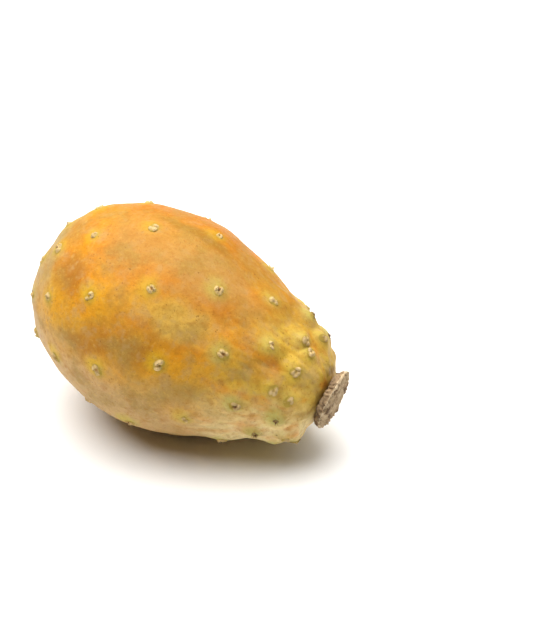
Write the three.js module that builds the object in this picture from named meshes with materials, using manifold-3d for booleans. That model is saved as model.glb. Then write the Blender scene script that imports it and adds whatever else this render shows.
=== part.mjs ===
// A picked prickly pear, the fruit of an Opuntia cactus, lying on its side.
//
// Millimetres, +Z up. The fruit's long axis runs along X, from the blunt flower end at -X to the
// narrow stem end at +X, where a dry piece of stem tissue is left from picking. The origin is on
// the surface that the fruit lies on, under the middle of the whole object.
import * as THREE from "three";
import { mergeVertices } from "three/addons/utils/BufferGeometryUtils.js";
import Module from "manifold-3d";

// Fruit body, measured along its own axis from the flower end.
const bodyLength = 80.5;
const bodyRadius = 27.5;
const widestStation = 36.2;
const flowerEndPower = 2.16;
const flowerEndRoundness = 2.26;
const taperShare = 0.645;
const taperPower = 1.42;
const stemEndPower = 26;
const stemEndLift = 1.7; // the axis bows up a little towards the stem end
const cupDepth = 4.2; // the hollow that the flower left in the blunt end
const cupRadius = 6.6;
const seatDepth = 1.1; // the shallow seat under the dry stem piece
const seatRadius = 5.0;

// How it lies: the narrow end sinks until the weight is over the pressed spot.
const restTilt = THREE.MathUtils.degToRad(15);
const pressedDepth = 0.55;

// Areoles, the small felted cushions, follow one golden-angle spiral from the flower end.
const areoleCount = 72;
const goldenAngle = THREE.MathUtils.degToRad(137.508);
const spiralStart = THREE.MathUtils.degToRad(141.5);
const spiralTwist = THREE.MathUtils.degToRad(12);
const spiralLean = THREE.MathUtils.degToRad(6.5); // its upper side stays further from the stem
const firstColatitude = THREE.MathUtils.degToRad(20.9);
const lastColatitude = THREE.MathUtils.degToRad(149.5);
const spiralPower = 1.41;
const cushionRadius = 1.15;
const cushionHeight = 0.45;

// Tubercles, the low swellings that carry the areoles, and the furrows between them.
const tubercleHeight = { flowerEnd: 0.5, middle: 0.3, stemEnd: 1.15 };
const tubercleSpread = { middle: 4.4, stemEnd: 3.3 };
const furrowShare = 0.45;
const stemEndBegins = 46;
const flowerEndEnds = 14;

// Dry stem piece: a cupped scab with a domed outer face, wider one way than the other.
const scabGap = 0.3;
const scabHalfLength = 8.6;
const scabHalfWidth = 7.1;
const scabThickness = 4.1;
const scabOffset = 0.5; // from the bowed axis, towards the upper side of the fruit
const scabTurn = THREE.MathUtils.degToRad(24);

const ringsAlong = 38;
const segmentsAround = 60;
const scabSegments = 40;

const smoothstep = THREE.MathUtils.smoothstep;
const wasm = await Module();
wasm.setup();

// Station and radius of the smooth body at a colatitude, 0 at the flower end and PI at the stem.
// Just past either end the radius is negative, so that the slope there is square to the axis.
function meridian(colatitude) {
  const station = (bodyLength / 2) * (1 - Math.cos(colatitude));
  const before = Math.max(widestStation - station, 0) / widestStation;
  const beyond = Math.max(station - widestStation, 0) / (bodyLength - widestStation);
  const blunt = (1 - before ** flowerEndPower) ** (1 / flowerEndRoundness);
  const tapered = 1 - taperShare * beyond ** taperPower;
  const closing = Math.sqrt(Math.max(1 - beyond ** stemEndPower, 0));
  const side = Math.sign(Math.sin(colatitude));
  const radius = side * bodyRadius * blunt * tapered * closing;
  const cup = cupDepth * Math.exp(-((radius / cupRadius) ** 4));
  const seat = seatDepth * Math.exp(-((radius / seatRadius) ** 4));
  return { station: station + (colatitude < Math.PI / 2 ? cup : -seat), radius };
}

// A point of the smooth body in the fruit's own frame, axis along +X.
function bodyPoint(colatitude, around) {
  const { station, radius } = meridian(colatitude);
  const beyond = Math.max(station - widestStation, 0) / (bodyLength - widestStation);
  const lift = stemEndLift * beyond ** 2;
  return new THREE.Vector3(station, radius * Math.cos(around), radius * Math.sin(around) + lift);
}

// The outward normal there, from the slope of the meridian.
function bodyNormal(colatitude, around) {
  const step = 1e-3;
  const a = meridian(colatitude - step);
  const b = meridian(colatitude + step);
  const rise = b.station - a.station;
  const run = b.radius - a.radius;
  return new THREE.Vector3(-run, rise * Math.cos(around), rise * Math.sin(around)).normalize();
}

function areolePlace(index) {
  const share = index / (areoleCount - 1);
  const climb = Math.sin((Math.PI / 2) * share) ** spiralPower;
  const around = spiralStart - goldenAngle * index + spiralTwist * Math.sin(Math.PI * share);
  const level = firstColatitude + (lastColatitude - firstColatitude) * climb;
  const colatitude = level - spiralLean * share * Math.sin(around);
  return { colatitude, around };
}

const areoles = Array.from({ length: areoleCount }, (_, index) => {
  const { colatitude, around } = areolePlace(index);
  return { colatitude, around, foot: bodyPoint(colatitude, around) };
});

// How far the skin stands off the smooth body at a point, or below it in a furrow.
function tubercleAt(point) {
  const nearest = Math.min(...areoles.map(({ foot }) => foot.distanceTo(point)));
  const towardsStem = smoothstep(point.x, stemEndBegins, bodyLength - 8);
  const towardsFlower = 1 - smoothstep(point.x, 0, flowerEndEnds);
  const height =
    tubercleHeight.middle +
    (tubercleHeight.stemEnd - tubercleHeight.middle) * towardsStem +
    (tubercleHeight.flowerEnd - tubercleHeight.middle) * towardsFlower;
  const spread = THREE.MathUtils.lerp(tubercleSpread.middle, tubercleSpread.stemEnd, towardsStem);
  return height * (Math.exp(-((nearest / spread) ** 2)) - furrowShare);
}

function skinPoint(colatitude, around) {
  const point = bodyPoint(colatitude, around);
  return point.addScaledVector(bodyNormal(colatitude, around), tubercleAt(point));
}

// The sphere's own points, moved onto the skin. Its +Y pole becomes the flower end.
function skinGeometry() {
  const geometry = new THREE.SphereGeometry(1, segmentsAround, ringsAlong);
  const positions = geometry.getAttribute("position");
  for (let i = 0; i < positions.count; i++) {
    const direction = new THREE.Vector3().fromBufferAttribute(positions, i).normalize();
    const colatitude = Math.acos(THREE.MathUtils.clamp(direction.y, -1, 1));
    const around = Math.atan2(direction.z, direction.x);
    positions.setXYZ(i, ...skinPoint(colatitude, around));
  }
  return geometry;
}

// One cushion: a flattened dome whose lower half is sunk in the skin.
function cushionGeometry({ colatitude, around }) {
  const geometry = new THREE.SphereGeometry(cushionRadius, 6, 4);
  geometry.scale(1, cushionHeight / cushionRadius, 1);
  const normal = bodyNormal(colatitude, around);
  const upright = new THREE.Quaternion().setFromUnitVectors(new THREE.Vector3(0, 1, 0), normal);
  geometry.applyQuaternion(upright);
  const place = skinPoint(colatitude, around);
  geometry.translate(...place);
  return geometry;
}

function solidOf(geometry) {
  const bare = geometry.clone();
  bare.deleteAttribute("normal");
  bare.deleteAttribute("uv");
  const merged = mergeVertices(bare, 1e-4);
  const mesh = new wasm.Mesh({
    numProp: 3,
    vertProperties: new Float32Array(merged.getAttribute("position").array),
    triVerts: new Uint32Array(merged.index.array),
  });
  return new wasm.Manifold(mesh);
}

function geometryOf(solid) {
  const { vertProperties, triVerts } = solid.getMesh();
  const geometry = new THREE.BufferGeometry();
  geometry.setAttribute("position", new THREE.BufferAttribute(vertProperties, 3));
  geometry.setIndex(new THREE.BufferAttribute(triVerts, 1));
  geometry.computeVertexNormals();
  return geometry;
}

// The skin with its cushions, one grown piece, pressed flat where it meets the surface below.
// The lowest height is measured with the fruit tilted as it lies.
function fruitGeometry() {
  const skin = solidOf(skinGeometry());
  const grown = areoles.reduce((whole, areole) => whole.add(solidOf(cushionGeometry(areole))), skin);
  const tilted = geometryOf(grown).rotateY(restTilt);
  tilted.computeBoundingBox();
  const lowest = tilted.boundingBox.min.z + pressedDepth;
  const surface = new THREE.BoxGeometry(4 * bodyLength, 4 * bodyRadius, 2 * bodyRadius);
  surface.translate(0, 0, lowest - bodyRadius).rotateY(-restTilt);
  return { geometry: geometryOf(grown.subtract(solidOf(surface))), lowest };
}

// The dry piece left by the stem. The profile runs from the axis, over the cupped inner face and
// the rim, to the top of the domed outer face.
function scabGeometry() {
  const outline = [
    [0, 0],
    [4.1, 0],
    [5.2, 0.75],
    [7.2, 0.1],
    [8.2, -0.1],
    [8.6, 0.5],
    [8.3, 1.5],
    [7.4, 2.4],
    [6.2, 2.9],
    [4.2, 3.6],
    [2.1, 4.0],
    [0, scabThickness],
  ].map(([radius, height]) => new THREE.Vector2(radius, height));
  const geometry = new THREE.LatheGeometry(outline, scabSegments);
  const positions = geometry.getAttribute("position");
  for (let i = 0; i < positions.count; i++) {
    const point = new THREE.Vector3().fromBufferAttribute(positions, i);
    const share = Math.hypot(point.x, point.z) / scabHalfLength;
    const angle = Math.atan2(point.z, point.x);
    const ragged = 1 + share ** 3 * (0.05 * Math.sin(3 * angle + 1) + 0.03 * Math.sin(8 * angle));
    const width = THREE.MathUtils.lerp(1, scabHalfWidth / scabHalfLength, share ** 2);
    point.set(point.x * ragged, point.y, point.z * ragged * width);
    positions.setXYZ(i, ...point);
  }
  return geometry.rotateZ(-Math.PI / 2);
}

const { geometry: fruitShape, lowest } = fruitGeometry();
const skinMaterial = new THREE.MeshStandardMaterial({ color: 0xd9983f, roughness: 0.55, metalness: 0 });
const scabMaterial = new THREE.MeshStandardMaterial({ color: 0x9c8262, roughness: 0.95, metalness: 0 });

const fruit = new THREE.Mesh(fruitShape, skinMaterial);
fruit.name = "fruit";

const stemScab = new THREE.Mesh(scabGeometry(), scabMaterial);
stemScab.name = "stem_scab";
stemScab.position.set(bodyLength - seatDepth + scabGap, 0, stemEndLift + scabOffset);
stemScab.rotation.x = scabTurn;

const lying = new THREE.Group();
lying.rotation.y = restTilt;
lying.position.z = -lowest;
lying.add(fruit, stemScab);

const pricklyPear = new THREE.Group();
pricklyPear.name = "prickly_pear";
pricklyPear.add(lying);
const extent = new THREE.Box3().setFromObject(pricklyPear, true);
const middle = extent.getCenter(new THREE.Vector3());
lying.position.x -= middle.x;
lying.position.y -= middle.y;

export default pricklyPear;
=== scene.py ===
"""A picked cactus pear lying on a pale table, with the dry scab that its stem left."""
import math

import bpy
from mathutils import Euler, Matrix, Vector


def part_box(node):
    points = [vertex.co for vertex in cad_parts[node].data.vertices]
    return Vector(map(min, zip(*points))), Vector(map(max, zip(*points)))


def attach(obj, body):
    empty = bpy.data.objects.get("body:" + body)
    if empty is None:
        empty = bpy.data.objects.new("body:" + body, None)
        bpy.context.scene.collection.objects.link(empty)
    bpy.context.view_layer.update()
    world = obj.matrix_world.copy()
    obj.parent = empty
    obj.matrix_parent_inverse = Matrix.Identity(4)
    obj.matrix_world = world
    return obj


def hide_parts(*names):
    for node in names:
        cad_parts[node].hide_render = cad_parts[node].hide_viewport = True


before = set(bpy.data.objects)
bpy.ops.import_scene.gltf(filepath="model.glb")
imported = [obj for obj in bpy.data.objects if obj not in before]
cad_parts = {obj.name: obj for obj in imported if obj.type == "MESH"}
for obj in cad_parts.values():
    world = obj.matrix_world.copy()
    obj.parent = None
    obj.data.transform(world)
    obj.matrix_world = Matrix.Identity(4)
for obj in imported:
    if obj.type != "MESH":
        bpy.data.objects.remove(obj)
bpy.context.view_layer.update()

# ---------------------------------------------------------------------------------------------
# Skin. The fruit is one grown piece: a blunt flower end with a hollow, a widest part before the
# middle, and a cone down to the stem end. It swells under each areole, and the furrows between
# the swellings deepen towards the stem. Its weight presses a small flat where it lies.

BODY = {
    "Length": 0.0805,
    "Radius": 0.0275,
    "Widest Station": 0.0362,
    "Flower End Power": 2.16,
    "Flower End Roundness": 2.26,
    "Taper Share": 0.645,
    "Taper Power": 1.42,
    "Stem End Power": 26.0,
    "Stem End Lift": 0.0017,
    "Hollow Depth": 0.0042,
    "Hollow Radius": 0.0066,
    "Seat Depth": 0.0011,
    "Seat Radius": 0.0050,
}
SPIRAL = {
    "Areole Count": 72,
    "Golden Angle": math.radians(137.508),
    "Spiral Start": math.radians(141.5),
    "Spiral Twist": math.radians(12.0),
    "Spiral Lean": math.radians(6.5),
    "First Colatitude": math.radians(20.9),
    "Last Colatitude": math.radians(149.5),
    "Spiral Power": 1.41,
}
LUCK_SEED = 5  # shared by three pieces, so that an areole has the same luck in each of them
REST_TILT = math.radians(15)
PRESSED_DEPTH = 0.00055


class Wire:
    """One output of a node. Arithmetic on wires adds the Math or Vector Math nodes to their tree."""

    NOISE_GAIN = 2.6  # a noise texture alone stays mostly within 0.2 of its middle

    def __init__(self, tree, socket=None):
        self.tree = tree
        self.socket = socket

    def node(self, kind, inputs=(), out=0, **settings):
        """Any other node: its settings first, then its sockets' values or links."""
        made = self.tree.nodes.new(kind)
        for name, value in settings.items():
            setattr(made, name, value)
        for name, value in dict(inputs).items():
            if isinstance(value, Wire):
                self.tree.links.new(value.socket, made.inputs[name])
            else:
                made.inputs[name].default_value = value
        return Wire(self.tree, made.outputs[out])

    def is_vector(self):
        """Whether this output carries three numbers."""
        return self.socket.type in {"VECTOR", "RGBA"}

    def math(self, operation, *others):
        """A Math node, or a Vector Math node if any of its values is a vector."""
        vector = self.is_vector() or any(isinstance(o, Wire) and o.is_vector() for o in others)
        kind = "ShaderNodeVectorMath" if vector else "ShaderNodeMath"
        values = [self, *others]
        if vector:
            values = [v if isinstance(v, (Wire, tuple)) else (v, v, v) for v in values]
        return self.node(kind, dict(enumerate(values)), operation=operation)

    def __add__(self, other):
        return self.math("ADD", other)

    def __radd__(self, other):
        return self.math("ADD", other)

    def __sub__(self, other):
        return self.math("SUBTRACT", other)

    def __rsub__(self, other):
        return (self * -1) + other

    def __mul__(self, other):
        return self.math("MULTIPLY", other)

    def __rmul__(self, other):
        return self.math("MULTIPLY", other)

    def __truediv__(self, other):
        return self.math("DIVIDE", other)

    def __rtruediv__(self, other):
        return self**-1.0 * other

    def __pow__(self, power):
        return self.math("POWER", power)

    def at_least(self, low):
        """The value, or low where it is below that."""
        return self.math("MAXIMUM", low)

    def rise(self, low, high):
        """0 at low and 1 at high, with a smooth rise between. High may be below low."""
        inputs = {0: self, 1: low, 2: high, 3: 0.0, 4: 1.0}
        return self.node("ShaderNodeMapRange", inputs, interpolation_type="SMOOTHSTEP")

    def hill(self, width):
        """1 where the value is 0, falling off as a bell of that half width."""
        return (((self / width) ** 2) * -1).math("EXPONENT")

    def split(self):
        """The three numbers of a vector."""
        return [self.node("ShaderNodeSeparateXYZ", {0: self}, out=axis) for axis in range(3)]

    def length(self):
        """The length of a vector."""
        return self.node("ShaderNodeVectorMath", {0: self}, out=1, operation="LENGTH")

    def noise(self, size, detail=2.0, roughness=0.5, shift=0.0, stretch=(1, 1, 1)):
        """Smooth noise on this place, mostly within 0.5 of 0, whose lumps are size across."""
        place = self * tuple(s / size for s in stretch) + (shift, shift * 0.7, -shift)
        inputs = {"Vector": place, "Scale": 1.0, "Detail": detail, "Roughness": roughness}
        return (self.node("ShaderNodeTexNoise", inputs) - 0.5) * self.NOISE_GAIN


def geometry_tree(name, sizes):
    """An empty Geometry Nodes tree with those named inputs, a starting wire and its input wires."""
    tree = bpy.data.node_groups.new(name, "GeometryNodeTree")
    tree.interface.new_socket("Geometry", in_out="OUTPUT", socket_type="NodeSocketGeometry")
    kinds = {int: "NodeSocketInt", float: "NodeSocketFloat", bpy.types.Object: "NodeSocketObject"}
    for size_name, value in sizes.items():
        tree.interface.new_socket(size_name, in_out="INPUT", socket_type=kinds[type(value)])
    inlet = tree.nodes.new("NodeGroupInput")
    wires = {size_name: Wire(tree, inlet.outputs[size_name]) for size_name in sizes}
    return tree, Wire(tree), wires


def grown_piece(name, tree, sizes, geometry, material):
    """The mesh that a tree grows, as a plain object with no modifier."""
    surface = geometry.node("GeometryNodeRealizeInstances", {0: geometry})
    surface = surface.node("GeometryNodeSetShadeSmooth", {0: surface})
    surface = surface.node("GeometryNodeSetMaterial", {0: surface, 2: material})
    outlet = tree.nodes.new("NodeGroupOutput")
    tree.links.new(surface.socket, outlet.inputs[0])
    piece = bpy.data.objects.new(name, bpy.data.meshes.new(name))
    bpy.context.scene.collection.objects.link(piece)
    growth = piece.modifiers.new("Growth", "NODES")
    growth.node_group = tree
    for socket in tree.interface.items_tree:
        if socket.in_out == "INPUT":
            growth[socket.identifier] = sizes[socket.name]
    depsgraph = bpy.context.evaluated_depsgraph_get()
    evaluated = piece.evaluated_get(depsgraph)
    grown = bpy.data.meshes.new_from_object(
        evaluated, preserve_all_data_layers=True, depsgraph=depsgraph
    )
    piece.modifiers.remove(growth)
    piece.data = grown
    return piece


def on_body(colatitude, around, body):
    """The place on the smooth body at a colatitude and an angle around, in the fruit's own frame."""
    half = body["Length"] / 2
    station = half - half * colatitude.math("COSINE")
    widest = body["Widest Station"]
    before = (widest - station).at_least(0.0) / widest
    beyond = (station - widest).at_least(0.0) / (body["Length"] - widest)
    blunt = (1 - before ** body["Flower End Power"]).at_least(0.0)
    blunt = blunt.math("POWER", 1 / body["Flower End Roundness"])
    tapered = 1 - body["Taper Share"] * beyond ** body["Taper Power"]
    closing = (1 - beyond ** body["Stem End Power"]).at_least(0.0).math("SQRT")
    radius = body["Radius"] * blunt * tapered * closing
    hollow = (((radius / body["Hollow Radius"]) ** 4.0) * -1).math("EXPONENT")
    seat = (((radius / body["Seat Radius"]) ** 4.0) * -1).math("EXPONENT")
    at_flower = colatitude.math("LESS_THAN", math.pi / 2)
    sunk = hollow * body["Hollow Depth"] * at_flower - seat * body["Seat Depth"] * (1 - at_flower)
    height = radius * around.math("SINE") + body["Stem End Lift"] * beyond**2.0
    parts = {0: station + sunk, 1: radius * around.math("COSINE"), 2: height}
    return colatitude.node("ShaderNodeCombineXYZ", parts)


def on_spiral(index, sizes):
    """The place of an areole, from its number along the golden-angle spiral."""
    share = index / (sizes["Areole Count"] - 1.0)
    climb = (share * (math.pi / 2)).math("SINE") ** sizes["Spiral Power"]
    first = sizes["First Colatitude"]
    colatitude = first + (sizes["Last Colatitude"] - first) * climb
    twist = sizes["Spiral Twist"] * (share * math.pi).math("SINE")
    around = sizes["Spiral Start"] - sizes["Golden Angle"] * index + twist
    colatitude = colatitude - around.math("SINE") * share * sizes["Spiral Lean"]
    return on_body(colatitude, around, sizes)


def lowest_of_body(direction):
    """How far the smooth body reaches against a direction in the X-Z plane of its own frame."""
    samples = 400
    reach = []
    for step in range(1, samples):
        station = BODY["Length"] / 2 * (1 - math.cos(math.pi * step / samples))
        before = max(BODY["Widest Station"] - station, 0) / BODY["Widest Station"]
        beyond = max(station - BODY["Widest Station"], 0)
        beyond /= BODY["Length"] - BODY["Widest Station"]
        blunt = (1 - before ** BODY["Flower End Power"]) ** (1 / BODY["Flower End Roundness"])
        tapered = 1 - BODY["Taper Share"] * beyond ** BODY["Taper Power"]
        radius = BODY["Radius"] * blunt * tapered * math.sqrt(1 - beyond ** BODY["Stem End Power"])
        lift = BODY["Stem End Lift"] * beyond**2
        reach += [Vector((station, 0, side * radius + lift)).dot(direction) for side in (-1, 1)]
    return min(reach)


# The fruit's own frame lies tilted in the row frame, with its flower end at this place.
lying = Euler((0, REST_TILT, 0))
to_own_frame = lying.to_matrix().transposed()
fruit_low, fruit_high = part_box("fruit")
flower_end = Vector(
    (
        fruit_low.x - lowest_of_body(to_own_frame @ Vector((1, 0, 0))),
        (fruit_low.y + fruit_high.y) / 2,
        -lowest_of_body(to_own_frame @ Vector((0, 0, 1))) - PRESSED_DEPTH,
    )
)


def laid_down(geometry):
    """Geometry in the fruit's own frame, moved to where the fruit lies."""
    inputs = {0: geometry, "Translation": tuple(flower_end), "Rotation": tuple(lying)}
    return geometry.node("GeometryNodeTransform", inputs)


def above_table(geometry):
    """Geometry whose points keep to the table or above it."""
    x, y, z = geometry.node("GeometryNodeInputPosition").split()
    pressed = geometry.node("ShaderNodeCombineXYZ", {0: x, 1: y, 2: z.at_least(0.0)})
    return geometry.node("GeometryNodeSetPosition", {0: geometry, 2: pressed})


SKIN_SIZES = BODY | SPIRAL
SKIN_SIZES |= {
    "Segments": 384,
    "Rings": 250,
    "Swelling At Flower End": 0.0005,
    "Swelling In Middle": 0.0003,
    "Swelling At Stem End": 0.0015,
    "Swelling Spread": 0.0046,
    "Spread Lost At Stem": 0.0014,
    "Furrow Share": 0.3,
    "Dent Depth": 0.0005,
    "Ridge Height": 0.0007,
    "Fold Count": 13.0,
    "Fold Radius": 0.0062,
    "Fold Width": 0.0024,
    "Fold Height": 0.00032,
    "Ring Height": 0.00016,
    "Crack Height": 0.00028,
    "Pore Height": 0.00003,
}
# Stations along the fruit, and radii around its axis, between which something sets in.
STEM_SWELLINGS = (0.044, 0.073)
FLOWER_SWELLINGS = (0.014, 0.0)
NECK_RIDGES = (0.042, 0.068)
SEAT_EDGE = (0.0804, 0.0790)
HOLLOW_MOUTH = (0.008, 0.005)
SCAR_RADII = (0.0052, 0.0036)
RING_RATE = 7200.0  # radians per metre, which is a ring every 0.9 mm
# Painted highlight: the halo's middle is moved towards the flower end and up, to the side the light
# falls on, so it also lightens the lit side of each swelling.
HALO_HIGHLIGHT_SHIFT = (0.0009, 0.0002, -0.0005)  # the yellow lies off the areole, towards the flower end
# Painted shade: this middle is moved towards the stem end and down, the side away from the light, so
# a dark green ring darkens the shaded side of each swelling.
SHADE_SHIFT = (-0.0004, -0.0001, 0.0003)


def keep(geometry, name, value, data_type="FLOAT_VECTOR"):
    """Geometry that remembers a value at each of its points, under that name."""
    inputs = {0: geometry, "Name": name, "Value": value}
    return geometry.node("GeometryNodeStoreNamedAttribute", inputs, data_type=data_type)


def skin_surface(start, size):
    """The skin, from a ball whose pole becomes the flower end."""
    inputs = {0: size["Segments"], 1: size["Rings"], 2: 1.0}
    ball = start.node("GeometryNodeMeshUVSphere", inputs)
    across, aside, along = start.node("GeometryNodeInputPosition").split()
    colatitude = along.math("ARCCOSINE")
    around = across.math("ARCTAN2", aside)
    place = on_body(colatitude, around, size)
    smooth = ball.node("GeometryNodeSetPosition", {0: ball, 2: place})
    here = start.node("GeometryNodeInputPosition")
    station, sideways, upwards = here.split()

    index = start.node("GeometryNodeInputIndex")
    inputs = {0: size["Areole Count"], 1: on_spiral(index, size)}
    areoles = start.node("GeometryNodePoints", inputs)
    sampled = {0: areoles, "Sample Position": here}
    nearest = start.node("GeometryNodeProximity", sampled, target_element="POINTS")
    number = start.node("GeometryNodeSampleNearest", sampled)
    luck = start.node("FunctionNodeRandomValue", {"ID": number, "Seed": LUCK_SEED}, out=1)

    smooth = keep(smooth, "own_place", here)
    # Distance to each areole's halo middle, moved to the lit side for a painted highlight, and to
    # the middle of its painted shade on the far side.
    to_halo = (here - nearest + HALO_HIGHLIGHT_SHIFT).length()
    to_ring = (here - nearest + SHADE_SHIFT).length()
    smooth = keep(smooth, "to_halo", to_halo, data_type="FLOAT")
    smooth = keep(smooth, "to_ring", to_ring, data_type="FLOAT")
    from_areole = (here - nearest).length()
    smooth = keep(smooth, "to_areole", from_areole, data_type="FLOAT")
    smooth = keep(smooth, "areole_luck", luck, data_type="FLOAT")

    to_stem = station.rise(*STEM_SWELLINGS)
    to_flower = station.rise(*FLOWER_SWELLINGS)
    middle = size["Swelling In Middle"]
    swelling = middle + (size["Swelling At Stem End"] - middle) * to_stem
    swelling = swelling + (size["Swelling At Flower End"] - middle) * to_flower
    spread = size["Swelling Spread"] - size["Spread Lost At Stem"] * to_stem
    bump = from_areole.hill(spread) - size["Furrow Share"]
    seat_edge = station.rise(*SEAT_EDGE)
    uneven = here.noise(0.009, detail=1.0, shift=11.0) * 0.5 + 1.0
    raised = swelling * bump * uneven * seat_edge

    dents = here.noise(0.019, detail=1.5) + here.noise(0.0075, detail=1.0, shift=3.0) * 0.4
    raised = raised + dents * size["Dent Depth"] * (1 + 1.3 * to_stem)
    ridges = here.noise(0.0042, detail=2.0, stretch=(0.22, 1, 1), shift=8.0)
    raised = raised + ridges * size["Ridge Height"] * station.rise(*NECK_RIDGES) * seat_edge
    from_axis = (sideways**2.0 + upwards**2.0).math("SQRT")
    wander = here.noise(0.004, shift=1.0) * 0.8
    folds = (sideways.math("ARCTAN2", upwards) * size["Fold Count"] + wander).math("SINE")
    at_mouth = station.rise(*HOLLOW_MOUTH)
    near_hollow = (from_axis - size["Fold Radius"]).hill(size["Fold Width"]) * at_mouth
    raised = raised + folds * size["Fold Height"] * near_hollow
    in_hollow = from_axis.rise(*SCAR_RADII) * at_mouth
    rings = ((from_axis + here.noise(0.003, shift=2.0) * 0.0005) * RING_RATE).math("SINE")
    cracks = here.noise(0.0011, detail=3.0, roughness=0.65, stretch=(0.4, 1, 1), shift=14.0)
    raised = raised + (rings * size["Ring Height"] + cracks * size["Crack Height"]) * in_hollow
    raised = raised + here.noise(0.0021, detail=2.0, shift=5.0) * size["Pore Height"]

    outward = start.node("GeometryNodeInputNormal")
    grown = smooth.node("GeometryNodeSetPosition", {0: smooth, 3: outward * raised})
    return above_table(laid_down(grown))


def attribute(start, name, out=1):
    """A value that the piece's points remember: a vector, or a number with out=2."""
    return start.node("ShaderNodeAttribute", out=out, attribute_name=name)


def mixed(under, over, mask):
    """Over on top of under, where the mask is 1. Either may be a colour or a wire."""
    start = next(v for v in (mask, under, over) if isinstance(v, Wire))
    inputs = {0: mask, 6: under, 7: over}
    return start.node("ShaderNodeMix", inputs, out=2, data_type="RGBA")


def finish_of(name, **constants):
    """A material with one Principled shader whose constants are set, a starting wire and it."""
    material = bpy.data.materials.new(name)
    material.use_nodes = True
    shader = material.node_tree.nodes["Principled BSDF"]
    for socket, value in constants.items():
        shader.inputs[socket.replace("_", " ")].default_value = value
    return material, Wire(material.node_tree), shader


def feed(shader, colour, roughness, height, distance):
    """Links what varies over a surface into its shader. Height is in units of distance."""
    bump = colour.node("ShaderNodeBump", {"Height": height, "Strength": 1.0, "Distance": distance})
    for socket, wire in (("Base Color", colour), ("Roughness", roughness), ("Normal", bump)):
        shader.id_data.links.new(wire.socket, shader.inputs[socket])


ORANGE = (0.60, 0.175, 0.003, 1)
GOLD = (0.67, 0.325, 0.018, 1)
PEACH = (0.50, 0.24, 0.055, 1)
RUSSET = (0.36, 0.130, 0.012, 1)
BLOOM = (0.44, 0.28, 0.105, 1)
OLIVE = (0.31, 0.225, 0.070, 1)
STRAW = (0.84, 0.70, 0.36, 1)
PINK_TAN = (0.53, 0.37, 0.205, 1)
END_TAN = (0.45, 0.345, 0.225, 1)
NECK_YELLOW = (0.58, 0.395, 0.055, 1)
LEAF_GREEN = (0.47, 0.43, 0.115, 1)
HALO_YELLOW = (0.68, 0.44, 0.020, 1)
SWELLING_SHADE_GREEN = (0.24, 0.22, 0.050, 1)
PALE_GOLD = (0.74, 0.46, 0.085, 1)
AMBER = (0.42, 0.20, 0.016, 1)
BROWN_GOLD = (0.40, 0.185, 0.022, 1)
DEEP_ORANGE = (0.50, 0.135, 0.002, 1)
RIDGE_SHADOW_BROWN = (0.25, 0.12, 0.018, 1)
FRECKLE = (0.19, 0.072, 0.012, 1)
SCAR_BROWN = (0.11, 0.06, 0.025, 1)
SCAR_TAN = (0.33, 0.21, 0.10, 1)

# Zones of colour, in the order in which they are laid on: the colour, the zone's middle and half
# widths in millimetres in the fruit's own frame, and how strongly the colour shows.
TOP_ZONES = (
    (PEACH, (30.0, -2.0, 26.0), (22.0, 13.0, 9.0), 0.85),
    (BLOOM, (45.0, -4.0, 24.0), (11.0, 9.0, 7.0), 0.7),
    (DEEP_ORANGE, (28.0, 12.0, 24.0), (24.0, 7.0, 9.0), 0.9),
)
FRONT_ZONES = (
    (OLIVE, (50.0, -24.0, 4.0), (10.0, 6.0, 4.5), 0.6),
    (RUSSET, (14.0, -17.0, 14.0), (6.0, 6.0, 6.5), 0.8),
)
MIDDLE_ZONES = (
    (BROWN_GOLD, (50.0, 9.0, 22.0), (12.0, 4.0, 6.0), 0.7),
    (PALE_GOLD, (42.0, -17.0, 19.0), (13.0, 7.0, 6.0), 0.9),
)
NECK_ZONES = (
    (RUSSET, (62.0, -12.0, 13.0), (8.0, 5.0, 4.0), 0.6),
    (BROWN_GOLD, (57.0, 6.0, 20.0), (15.0, 8.0, 8.0), 0.7),
)
ZONE_EDGE = (1.25, 0.35)  # a zone fades in between these shares of its half width
MILLIMETRES = 1000.0
SKIN_RELIEF = 0.00009


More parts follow.
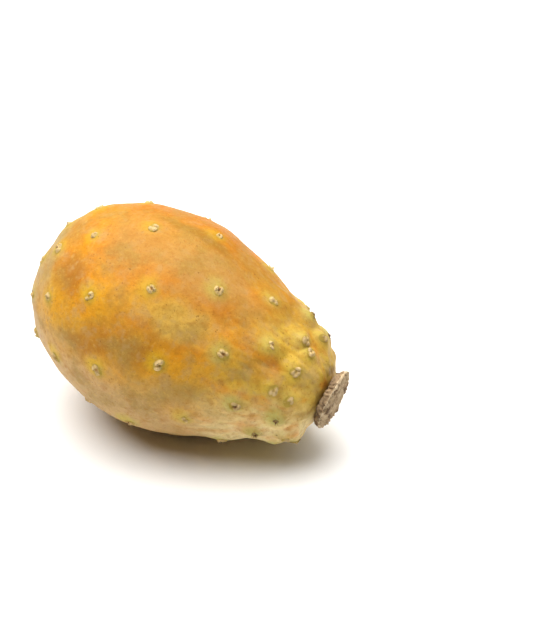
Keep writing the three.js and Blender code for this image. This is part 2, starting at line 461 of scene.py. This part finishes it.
def skin_finish():
    """Waxy skin: orange where the sun ripened it, green at the ends, freckled all over."""
    material, start, shader = finish_of(
        "Waxy skin",
        IOR=1.42,
        Subsurface_Weight=0.12,
        Subsurface_Radius=(1.0, 0.45, 0.15),
        Subsurface_Scale=0.002,
        Specular_IOR_Level=0.12,
    )
    place = attribute(start, "own_place") * MILLIMETRES
    luck = attribute(start, "areole_luck", out=2)
    drift = place.node("ShaderNodeTexNoise", {"Vector": place * 0.14, "Scale": 1.0}, out=1)
    wandering = place + (drift - 0.5) * 9.0
    x, y, z = wandering.split()
    own_x, own_y, own_z = place.split()

    def zoned(under, zones):
        """A colour with soft-edged zones of other colours laid on it."""
        for over, middle, half_widths, strength in zones:
            zone = ((wandering - middle) / half_widths).length().rise(*ZONE_EDGE)
            under = mixed(under, over, zone * strength)
        return under

    blotches = place.noise(14.0, detail=3.0, roughness=0.55, shift=2.0)
    clouds = place.noise(6.5, detail=3.0, roughness=0.6, shift=15.0)
    mottle = place.noise(2.6, detail=2.0, shift=6.0)
    fine = place.noise(1.0, detail=3.0, roughness=0.7, shift=9.0)
    colour = mixed(GOLD, ORANGE, (z * 0.035 + blotches * 0.9).rise(0.1, 1.1))
    colour = zoned(colour, TOP_ZONES)
    band = (z - x * 0.42 + 4.0).hill(3.6) * x.rise(14.0, 24.0) * x.rise(50.0, 38.0)
    colour = mixed(colour, RUSSET, band * y.rise(-8.0, -14.0) * 0.75)
    colour = zoned(colour, FRONT_ZONES)
    # Painted shadow: a dark brown line along the furrow just below the top ridge, where shade falls.
    near = place + (drift - 0.5) * 3.0
    ridge_shadow_line = ((near - (35.0, 4.4, 27.0)) / (13.0, 2.3, 7.0)).length().rise(*ZONE_EDGE)
    colour = mixed(colour, RIDGE_SHADOW_BROWN, ridge_shadow_line * 0.95)
    colour = zoned(colour, MIDDLE_ZONES)
    low = (y * 0.55 + z).rise(-6.0, -21.0)
    underside = (z * 0.9 - y * 0.12).rise(8.0, -6.0)
    colour = mixed(colour, OLIVE, underside * 0.35)
    colour = mixed(colour, PINK_TAN, low * 0.65)
    ends = x.rise(13.0, 3.0)
    colour = mixed(colour, mixed(OLIVE, END_TAN, z.rise(16.0, -8.0)), ends * 0.9)
    neck = x.rise(50.0, 66.0)
    neck_colour = mixed(NECK_YELLOW, STRAW, z.rise(11.0, -3.0) * 0.9)
    colour = mixed(colour, neck_colour, neck * 0.85)
    colour = mixed(colour, PINK_TAN, neck * blotches.rise(0.05, 0.5) * 0.4)
    colour = mixed(colour, RUSSET, neck * blotches.rise(-0.05, -0.5) * 0.45)
    colour = zoned(colour, NECK_ZONES)
    colour = mixed(colour, BROWN_GOLD, clouds.rise(0.0, 0.5) * 0.55)
    colour = mixed(colour, BLOOM, clouds.rise(-0.05, -0.55) * 0.5)
    streaks = place.noise(4.6, detail=2.5, roughness=0.55, stretch=(0.25, 1, 1), shift=4.0)
    colour = mixed(colour, ORANGE, (streaks.rise(0.0, 0.5) * x.rise(46.0, 62.0)) * 0.5)
    colour = mixed(colour, OLIVE, (streaks.rise(-0.1, -0.6) * x.rise(44.0, 60.0)) * 0.55)

    at_neck = own_x.rise(50.0, 70.0)
    # The yellow-green halo round each areole is the skin's own colour; its middle sits on the lit
    # side, so it also paints a highlight on each swelling.
    reach = (3.4 + mottle * 1.2 + luck * 0.9) * (1 - at_neck * 0.2)
    halo_and_highlight = (attribute(start, "to_halo", out=2) * MILLIMETRES / reach).rise(1.1, 0.2)
    # Painted shade: a dark green ring on the side of each swelling away from the light.
    painted_swelling_shade = attribute(start, "to_ring", out=2) * MILLIMETRES / (2.0 + mottle * 0.8)
    painted_swelling_shade = painted_swelling_shade.rise(1.3, 0.4)
    # Painted shade: olive darkening in the furrows between the swellings, away from the areoles.
    furrow_shade = (attribute(start, "to_areole", out=2) * MILLIMETRES + mottle).rise(4.5, 8.5)
    colour = mixed(colour, OLIVE, furrow_shade * clouds.rise(-0.4, 0.4) * 0.5)
    halo_colour = mixed(HALO_YELLOW, LEAF_GREEN, (x / 80.0 + luck * 0.5).rise(0.6, 1.2))
    halo_and_highlight_strength = 0.45 + luck * 0.35 - ends * 0.4
    colour = mixed(colour, halo_colour, halo_and_highlight * halo_and_highlight_strength)
    colour = mixed(colour, SWELLING_SHADE_GREEN, painted_swelling_shade * (0.35 - at_neck * 0.1))

    ripe = z.rise(12.0, 27.0)
    colour = mixed(colour, AMBER, ripe * 0.4)
    colour = mixed(colour, RUSSET, mottle.rise(0.05, 0.6) * 0.32)
    colour = mixed(colour, BLOOM, mottle.rise(-0.05, -0.5) * 0.4 * (1 - ripe * 0.5))
    colour = mixed(colour, RUSSET, fine.rise(0.05, 0.6) * 0.45)
    colour = mixed(colour, PALE_GOLD, fine.rise(-0.05, -0.6) * 0.3 * (1 - ripe * 0.5))
    specks = place.noise(0.6, detail=2.0, shift=12.0) + place.noise(6.0, shift=13.0) * 0.35
    dots = specks.rise(0.5, 0.72)
    colour = mixed(colour, FRECKLE, dots * 0.6)
    from_axis = (own_y**2.0 + own_z**2.0).math("SQRT")
    scar = (from_axis + mottle * 0.8).rise(5.0, 3.4) * own_x.rise(10.0, 7.0)
    scar_colour = mixed(SCAR_BROWN, SCAR_TAN, (fine + mottle * 0.5).rise(-0.2, 0.5))
    colour = mixed(colour, scar_colour, scar * 0.92)
    grain = place.noise(0.33, detail=2.0, shift=7.0)
    colour = mixed(colour, FRECKLE, grain.rise(0.0, 0.9) * 0.3)
    roughness = 0.52 + fine * 0.05 + scar * 0.3
    height = fine * 0.35 + grain * 0.12 + mottle * 0.5 - dots * 0.6
    feed(shader, colour, roughness, height, SKIN_RELIEF)
    return material


skin_tree, skin_start, skin_size = geometry_tree("Cactus pear skin", SKIN_SIZES)
skin = grown_piece(
    "fruit_skin", skin_tree, SKIN_SIZES, skin_surface(skin_start, skin_size), skin_finish()
)
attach(skin, "root")
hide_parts("fruit")

# ---------------------------------------------------------------------------------------------
# Areoles. Each is a lumpy cushion of cream felt, grown from the top of its swelling, with a pit
# where its spines stood. Near the stem end they stay small and dark.

AREOLE_SIZES = BODY | SPIRAL
AREOLE_SIZES |= {
    "Skin": skin,
    "Segments": 32,
    "Rings": 22,
    "Smallest Scale": 0.82,
    "Scale Range": 0.34,
    "Cushion Radius": 0.0015,
    "Cushion Width Share": 0.8,
    "Cushion Height Share": 0.08,
    "Lobe Spread": 0.41,
    "Lobe Height": 0.00075,
    "Crumb Height": 0.0007,
    "Pit Spread": 0.2,
    "Pit Share": 0.5,
    "Sunk": 0.00015,
}
LOBES = ("lobe_a", "lobe_b", "lobe_c", "lobe_d", "lobe_e")
LOBE_SEED = 30  # of the first lobe; the others follow it
TURN_SEED = 11
SCALE_SEED = 3
DARK_STATIONS = (0.074, 0.085)  # between these, the areoles become small and dark
DARK_SCATTER = 0.016


def seated(start, points, skin_object):
    """Points moved onto the skin, the skin's outward direction there, and the skin's own place."""
    surface = start.node("GeometryNodeObjectInfo", {0: skin_object}, out=4)
    here = start.node("GeometryNodeInputPosition")
    inputs = {0: surface, "Sample Position": here}
    foot = start.node("GeometryNodeProximity", inputs, target_element="FACES")
    inputs = {0: surface, 1: start.node("GeometryNodeInputNormal"), "Sample Position": here}
    outward = start.node("GeometryNodeSampleNearestSurface", inputs, data_type="FLOAT_VECTOR")
    points = keep(points, "outward", outward)
    return points.node("GeometryNodeSetPosition", {0: points, 2: foot})


def remembered(start, name, data_type="FLOAT_VECTOR"):
    """A value that the points of a growing piece remember under that name."""
    return start.node("GeometryNodeInputNamedAttribute", {"Name": name}, data_type=data_type)


def standing(start, turn):
    """A rotation whose Z lies along the skin's outward direction, turned about it."""
    spun = start.node("FunctionNodeAxisAngleToRotation", {0: (0.0, 0.0, 1.0), 1: turn})
    inputs = {0: spun, 2: remembered(start, "outward")}
    return start.node("FunctionNodeAlignRotationToVector", inputs, axis="Z")


def areole_cushions(start, size):
    """One cushion on each place of the spiral, with its five lobes raised around a pit."""
    index = start.node("GeometryNodeInputIndex")
    inputs = {0: size["Areole Count"], 1: on_spiral(index, size)}
    points = start.node("GeometryNodePoints", inputs)
    station = start.node("GeometryNodeInputPosition").split()[0]
    luck = start.node("FunctionNodeRandomValue", {"ID": index, "Seed": LUCK_SEED}, out=1)
    dark = (station + luck * DARK_SCATTER).rise(*DARK_STATIONS)
    points = keep(points, "dark", dark, data_type="FLOAT")
    points = keep(points, "luck", luck, data_type="FLOAT")
    for number, lobe in enumerate(LOBES):
        inputs = {0: (-0.55, -0.55, 0.5), 1: (0.55, 0.55, 1.0)}
        inputs |= {"ID": index, "Seed": LOBE_SEED + number}
        spot = start.node("FunctionNodeRandomValue", inputs, data_type="FLOAT_VECTOR")
        points = keep(points, lobe, spot)
    points = seated(start, laid_down(points), size["Skin"])

    inputs = {0: size["Segments"], 1: size["Rings"], 2: 1.0}
    ball = start.node("GeometryNodeMeshUVSphere", inputs)
    here = start.node("GeometryNodeInputPosition")
    radius = size["Cushion Radius"]
    inputs = {
        0: radius,
        1: radius * size["Cushion Width Share"],
        2: radius * size["Cushion Height Share"],
    }
    shape = start.node("ShaderNodeCombineXYZ", inputs)
    cushion = keep(ball, "cushion_place", here)
    cushion = cushion.node("GeometryNodeSetPosition", {0: cushion, 2: here * shape})

    inputs = {"ID": index, "Seed": TURN_SEED}
    turn = start.node("FunctionNodeRandomValue", inputs, out=1) * (2 * math.pi)
    smaller = 1 - remembered(start, "dark", "FLOAT") * 0.5
    inputs = {"ID": index, "Seed": SCALE_SEED}
    chance = start.node("FunctionNodeRandomValue", inputs, out=1)
    scale = size["Smallest Scale"] + size["Scale Range"] * chance
    inputs = {0: points, 2: cushion, "Rotation": standing(start, turn), "Scale": scale * smaller}
    copies = start.node("GeometryNodeInstanceOnPoints", inputs)
    copies = copies.node("GeometryNodeRealizeInstances", {0: copies})

    x, y, z = remembered(start, "cushion_place").split()
    hills = []
    for lobe in LOBES:
        lobe_x, lobe_y, lobe_height = remembered(start, lobe).split()
        from_lobe = ((x - lobe_x) ** 2.0 + (y - lobe_y) ** 2.0).math("SQRT")
        hills += [from_lobe.hill(size["Lobe Spread"]) * lobe_height]
    felt = hills[0]
    for hill in hills[1:]:
        felt = felt.at_least(hill)
    pit = (x**2.0 + y**2.0).math("SQRT").hill(size["Pit Spread"])
    felt = (felt - size["Pit Share"] * pit).at_least(0.0)
    top = z.rise(0.0, 0.4)
    crumbs = start.node("GeometryNodeInputPosition").noise(0.00045, detail=2.0, shift=4.0)
    copies = keep(copies, "felt", felt * top, data_type="FLOAT")
    flatter = 1 - remembered(start, "dark", "FLOAT") * 0.5
    lift = felt * top * flatter * size["Lobe Height"] + crumbs * felt * size["Crumb Height"]
    lift = remembered(start, "outward") * (lift - size["Sunk"])
    return above_table(copies.node("GeometryNodeSetPosition", {0: copies, 3: lift}))


FELT_CREAM = (0.68, 0.49, 0.23, 1)
FELT_TAN = (0.56, 0.38, 0.13, 1)
FELT_OLIVE = (0.44, 0.30, 0.045, 1)
PIT_BROWN = (0.14, 0.085, 0.03, 1)
PIT_RUST = (0.42, 0.17, 0.045, 1)
FELT_RELIEF = 0.00012


def felt_finish():
    """Matted felt: cream on the lobes, brown in the pit, all brown where the areole is small."""
    material, start, shader = finish_of("Areole felt", Specular_IOR_Level=0.2)
    place = start.node("ShaderNodeTexCoord", out=3) * MILLIMETRES
    x, y = attribute(start, "cushion_place").split()[:2]
    luck = attribute(start, "luck", out=2)
    dark = attribute(start, "dark", out=2)
    fuzz = place.noise(0.28, detail=3.0, roughness=0.7)
    patches = place.noise(0.8, detail=1.0, shift=5.0)
    felt = attribute(start, "felt", out=2) + fuzz * 0.12
    colour = mixed(FELT_OLIVE, FELT_TAN, felt.rise(0.05, 0.35))
    clean = (1 - patches.rise(0.0, 0.6) * 0.5) * (1 - luck * 0.35)
    colour = mixed(colour, FELT_CREAM, felt.rise(0.2, 0.55) * clean)
    pit_colour = mixed(FELT_TAN, PIT_RUST, luck.rise(0.35, 0.7))
    pit = ((x - 0.1) ** 2.0 + y**2.0).math("SQRT").hill(0.3) * felt.rise(0.75, 0.35)
    colour = mixed(colour, pit_colour, pit * 0.85)
    colour = mixed(colour, PIT_BROWN, dark * 0.75)
    roughness = 0.85 + fuzz * 0.05
    feed(shader, colour, roughness, fuzz, FELT_RELIEF)
    return material


areole_tree, areole_start, areole_size = geometry_tree("Areole cushions", AREOLE_SIZES)
cushions = grown_piece(
    "areole_cushions",
    areole_tree,
    AREOLE_SIZES,
    areole_cushions(areole_start, areole_size),
    felt_finish(),
)
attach(cushions, "root")
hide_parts("fruit")

# ---------------------------------------------------------------------------------------------
# Bristles. Brushing the fruit leaves stubs of its fine barbed bristles, grown from the felt in a
# tight tuft. About one areole in three still has them.

BRISTLE_SIZES = BODY | SPIRAL
BRISTLE_SIZES |= {
    "Skin": skin,
    "Bristles Each": 8,
    "Bristle Length": 0.0009,
    "Tip Radius": 0.00002,
    "Root Radius": 0.00007,
    "Tuft Radius": 0.00042,
    "Outward Lean": 0.45,
    "Bare Share": 0.66,
    "Shortest Share": 0.6,
    "Length Range": 0.5,
}
SCATTER_SEED = 21
LENGTH_SEED = 8


def bristles(start, size):
    """A tuft of leaning stubs on each place of the spiral that has not been brushed bare."""
    index = start.node("GeometryNodeInputIndex")
    areole = (index / size["Bristles Each"]).math("FLOOR")
    count = {0: size["Areole Count"] * size["Bristles Each"], 1: on_spiral(areole, size)}
    points = start.node("GeometryNodePoints", count)
    luck = start.node("FunctionNodeRandomValue", {"ID": areole, "Seed": LUCK_SEED}, out=1)
    bare = luck.math("LESS_THAN", size["Bare Share"])
    points = points.node("GeometryNodeDeleteGeometry", {0: points, 1: bare})
    spread = {0: (-1.0, -1.0, -1.0), 1: (1.0, 1.0, 1.0), "ID": index, "Seed": SCATTER_SEED}
    scatter = start.node("FunctionNodeRandomValue", spread, data_type="FLOAT_VECTOR")
    points = points.node("GeometryNodeSetPosition", {0: points, 3: scatter * size["Tuft Radius"]})
    points = keep(points, "lean", scatter)
    points = seated(start, laid_down(points), size["Skin"])
    leaning = remembered(start, "outward") + remembered(start, "lean") * size["Outward Lean"]
    points = keep(points, "outward", leaning)
    inputs = {0: 5, 3: size["Tip Radius"], 4: size["Root Radius"], 5: size["Bristle Length"]}
    cone = start.node("GeometryNodeMeshCone", inputs)
    inputs = {"ID": start.node("GeometryNodeInputIndex"), "Seed": LENGTH_SEED}
    chance = start.node("FunctionNodeRandomValue", inputs, out=1)
    long = size["Shortest Share"] + size["Length Range"] * chance
    inputs = {0: points, 2: cone, "Rotation": standing(start, 0.0), "Scale": long}
    stubs = start.node("GeometryNodeInstanceOnPoints", inputs)
    return above_table(stubs.node("GeometryNodeRealizeInstances", {0: stubs}))


BRISTLE_BROWN = (0.16, 0.06, 0.02, 1)
BRISTLE_STRAW = (0.45, 0.28, 0.10, 1)
BRISTLE_RELIEF = 0.00002


def bristle_finish():
    """Horny bristle, red-brown with straw-coloured patches."""
    material, start, shader = finish_of("Bristle")
    place = start.node("ShaderNodeTexCoord", out=3) * MILLIMETRES
    tone = place.noise(0.9, detail=1.0)
    colour = mixed(BRISTLE_BROWN, BRISTLE_STRAW, tone.rise(0.1, 1.0))
    feed(shader, colour, 0.5 + tone * 0.05, tone, BRISTLE_RELIEF)
    return material


bristle_tree, bristle_start, bristle_size = geometry_tree("Bristle stubs", BRISTLE_SIZES)
stubs = grown_piece(
    "bristle_stubs",
    bristle_tree,
    BRISTLE_SIZES,
    bristles(bristle_start, bristle_size),
    bristle_finish(),
)
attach(stubs, "root")
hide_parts("fruit")

# ---------------------------------------------------------------------------------------------
# Stem scab. A plate of cork stays on the stem end where the fruit broke from its pad: a fibrous
# side that turns in to the seat, a ragged rim, and a domed, crumbling outer face.

SCAB_SIZES = {
    "Segments": 260,
    "Rings": 170,
    "Half Length": 0.0090,
    "Half Width": 0.0074,
    "Thickness": 0.0032,
    "Rim Height": 0.0019,
    "Lobe Share": 0.05,
    "Ragged Share": 0.035,
    "Lump Height": 0.0006,
    "Crumb Height": 0.0004,
    "Ragged Height": 0.0009,
    "Vein Ring Lift": -0.00035,
}
SCAB_OFFSET = 0.0015  # from the bowed axis, towards the upper side of the fruit
SCAB_GAP = 0.0003
SCAB_TURN = math.radians(24)
VEIN_RING_REACH = 0.52  # where the ring of veins lies, as a share of the way out to the rim


def scab_surface(start, size):
    """The scab, from a ball: its upper half becomes the outer face, its lower half the side."""
    inputs = {0: size["Segments"], 1: size["Rings"], 2: 1.0}
    ball = start.node("GeometryNodeMeshUVSphere", inputs)
    x, y, z = start.node("GeometryNodeInputPosition").split()
    angle = y.math("ARCTAN2", x)
    shadow = (x**2.0 + y**2.0).math("SQRT").at_least(1e-5)
    reach = shadow**0.62
    upper = z.math("GREATER_THAN", 0.0)
    rim, thick = size["Rim Height"], size["Thickness"]
    dome = rim + (thick - rim) * (1 - reach**2.2)
    under = rim * reach.rise(0.8, 1.0)
    height = dome * upper + under * (1 - upper)
    unit = start.node("ShaderNodeCombineXYZ", {0: x / shadow, 1: y / shadow, 2: 0.0})
    three_lobes = (angle * 3 + 1.0).math("SINE")
    lobes = 1 + size["Lobe Share"] * three_lobes + size["Ragged Share"] * unit.noise(0.9)
    radius = size["Half Length"] * reach * lobes
    inputs = {0: unit.split()[0] * radius, 2: height}
    inputs[1] = unit.split()[1] * radius * (size["Half Width"] / size["Half Length"])
    plate = keep(ball, "plate_reach", reach * (upper * 2 - 1), data_type="FLOAT")
    flat = start.node("ShaderNodeCombineXYZ", inputs)
    plate = plate.node("GeometryNodeSetPosition", {0: plate, 2: flat})
    here = start.node("GeometryNodeInputPosition")
    plate = keep(plate, "plate_place", here)
    edge = remembered(start, "plate_reach", "FLOAT").math("ABSOLUTE").rise(0.55, 1.0)
    lumps = here.noise(0.0034, detail=2.0) * size["Lump Height"]
    vein_ring = (remembered(start, "plate_reach", "FLOAT") - VEIN_RING_REACH).hill(0.07)
    vein_ring = vein_ring * size["Vein Ring Lift"]
    crumbs = here.noise(0.0012, detail=3.0, roughness=0.65, shift=3.0) * size["Crumb Height"]
    ragged = here.noise(0.0008, detail=2.0, stretch=(1, 1, 0.2), shift=6.0)
    ragged = ragged * size["Ragged Height"] * edge
    outward = start.node("GeometryNodeInputNormal")
    raised = outward * (lumps + crumbs + ragged + vein_ring)
    plate = plate.node("GeometryNodeSetPosition", {0: plate, 3: raised})
    onto_axis = Euler((0, math.pi / 2, 0)).to_matrix()
    turned = Euler((SCAB_TURN, 0, 0)).to_matrix() @ onto_axis
    seat = BODY["Length"] - BODY["Seat Depth"] + SCAB_GAP
    lift = BODY["Stem End Lift"] + SCAB_OFFSET
    inputs = {0: plate, "Rotation": tuple(turned.to_euler()), "Translation": (seat, 0.0, lift)}
    return laid_down(plate.node("GeometryNodeTransform", inputs))


CORK_CREAM = (0.60, 0.45, 0.27, 1)
CORK_TAN = (0.36, 0.23, 0.115, 1)
CORK_BROWN = (0.10, 0.055, 0.024, 1)
FIBRE_TAN = (0.38, 0.255, 0.135, 1)
RIM_TAN = (0.72, 0.56, 0.35, 1)
CORK_RELIEF = 0.00035


def cork_finish():
    """Weathered cork: mottled cream and brown outside, a pale rim, dark fibres down the side."""
    material, start, shader = finish_of("Dry cork")
    place = attribute(start, "plate_place") * MILLIMETRES
    reach = attribute(start, "plate_reach", out=2)
    blotches = place.noise(3.2, detail=3.0, roughness=0.6)
    crumbs = place.noise(0.8, detail=3.0, roughness=0.7, shift=4.0)
    fibres = place.noise(1.5, detail=2.0, stretch=(1.3, 1.3, 0.35), shift=8.0)
    colour = mixed(CORK_CREAM, CORK_TAN, (blotches + crumbs * 0.5).rise(-0.4, 0.4))
    colour = mixed(colour, CORK_BROWN, (blotches + crumbs * 0.5).rise(0.1, 0.6) * 0.85)
    vein_ring = (reach - VEIN_RING_REACH).hill(0.06) * crumbs.rise(-0.5, 0.3)
    colour = mixed(colour, CORK_BROWN, vein_ring * 0.7)
    is_side = reach.math("LESS_THAN", 0.0)
    side = mixed(FIBRE_TAN, CORK_BROWN, (fibres + crumbs * 0.4).rise(-0.25, 0.6) * 0.85)
    colour = mixed(colour, side, is_side)
    rim = reach.math("ABSOLUTE").rise(0.93, 0.99)
    colour = mixed(colour, RIM_TAN, rim * crumbs.rise(0.4, -0.2) * 0.85)
    height = crumbs * 0.8 + fibres * is_side + blotches * 0.3
    feed(shader, colour, 0.9 + crumbs * 0.05, height, CORK_RELIEF)
    return material


scab_tree, scab_start, scab_size = geometry_tree("Stem scab", SCAB_SIZES)
scab = grown_piece(
    "stem_cork", scab_tree, SCAB_SIZES, scab_surface(scab_start, scab_size), cork_finish()
)
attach(scab, "root")
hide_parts("stem_scab")

# ---------------------------------------------------------------------------------------------
# Table, light and camera. The fruit lies on a broad white table under one large soft light
# almost overhead, with a weaker one behind on the right and faint white surroundings.

TABLE_HALF = 6.0
table_mesh = bpy.data.meshes.new("table_top")
corners = [(x * TABLE_HALF, y * TABLE_HALF, 0) for x, y in ((-1, -1), (1, -1), (1, 1), (-1, 1))]
table_mesh.from_pydata(corners, [], [(0, 1, 2, 3)])
table = bpy.data.objects.new("table_top", table_mesh)
bpy.context.scene.collection.objects.link(table)
PAPER_WHITE = (0.93, 0.925, 0.91, 1)
table_mesh.materials.append(finish_of("White paper", Base_Color=PAPER_WHITE, Roughness=0.9)[0])


def soft_light(name, place, aim, width, power):
    """A round white light of that width and power at a place, turned to face its aim."""
    lamp = bpy.data.lights.new(name, "AREA")
    lamp.shape = "DISK"
    lamp.size = width
    lamp.energy = power
    holder = bpy.data.objects.new(name, lamp)
    holder.location = place
    holder.rotation_euler = (Vector(aim) - Vector(place)).to_track_quat("-Z", "Y").to_euler()
    bpy.context.scene.collection.objects.link(holder)


soft_light("window", (-0.22, 0.07, 0.80), aim=(0, 0, 0.02), width=1.25, power=19.6)
soft_light("side_window", (0.42, 0.40, 0.70), aim=(0, 0, 0.03), width=0.9, power=3.0)
world = bpy.data.worlds.new("White room")
world.use_nodes = True
background = world.node_tree.nodes["Background"]
background.inputs["Color"].default_value = (1, 1, 1, 1)
background.inputs["Strength"].default_value = 0.03
bpy.context.scene.world = world

VIEW_AZIMUTH = math.radians(26.3)
VIEW_ELEVATION = math.radians(37)
VIEW_DISTANCE = 0.52
VIEW_FOCAL_LENGTH = 118.7
VIEW_HEART_STATION = 0.0369  # the station on the fruit's axis that the view is framed from
VIEW_SHIFT_RIGHT = 0.02297
VIEW_SHIFT_UP = 0.0025
back = Vector(
    (
        math.sin(VIEW_AZIMUTH) * math.cos(VIEW_ELEVATION),
        -math.cos(VIEW_AZIMUTH) * math.cos(VIEW_ELEVATION),
        math.sin(VIEW_ELEVATION),
    )
)
right = Vector((math.cos(VIEW_AZIMUTH), math.sin(VIEW_AZIMUTH), 0))
heart = flower_end + lying.to_matrix() @ Vector((VIEW_HEART_STATION, 0, 0))
aim = heart + right * VIEW_SHIFT_RIGHT + back.cross(right) * VIEW_SHIFT_UP
lens = bpy.data.cameras.new("camera")
lens.lens = VIEW_FOCAL_LENGTH
lens.sensor_fit = "VERTICAL"
lens.sensor_height = 36
camera = bpy.data.objects.new("camera", lens)
camera.location = aim + back * VIEW_DISTANCE
camera.rotation_euler = back.to_track_quat("Z", "Y").to_euler()
bpy.context.scene.collection.objects.link(camera)
bpy.context.scene.camera = camera
bpy.context.scene.view_settings.view_transform = "Standard"
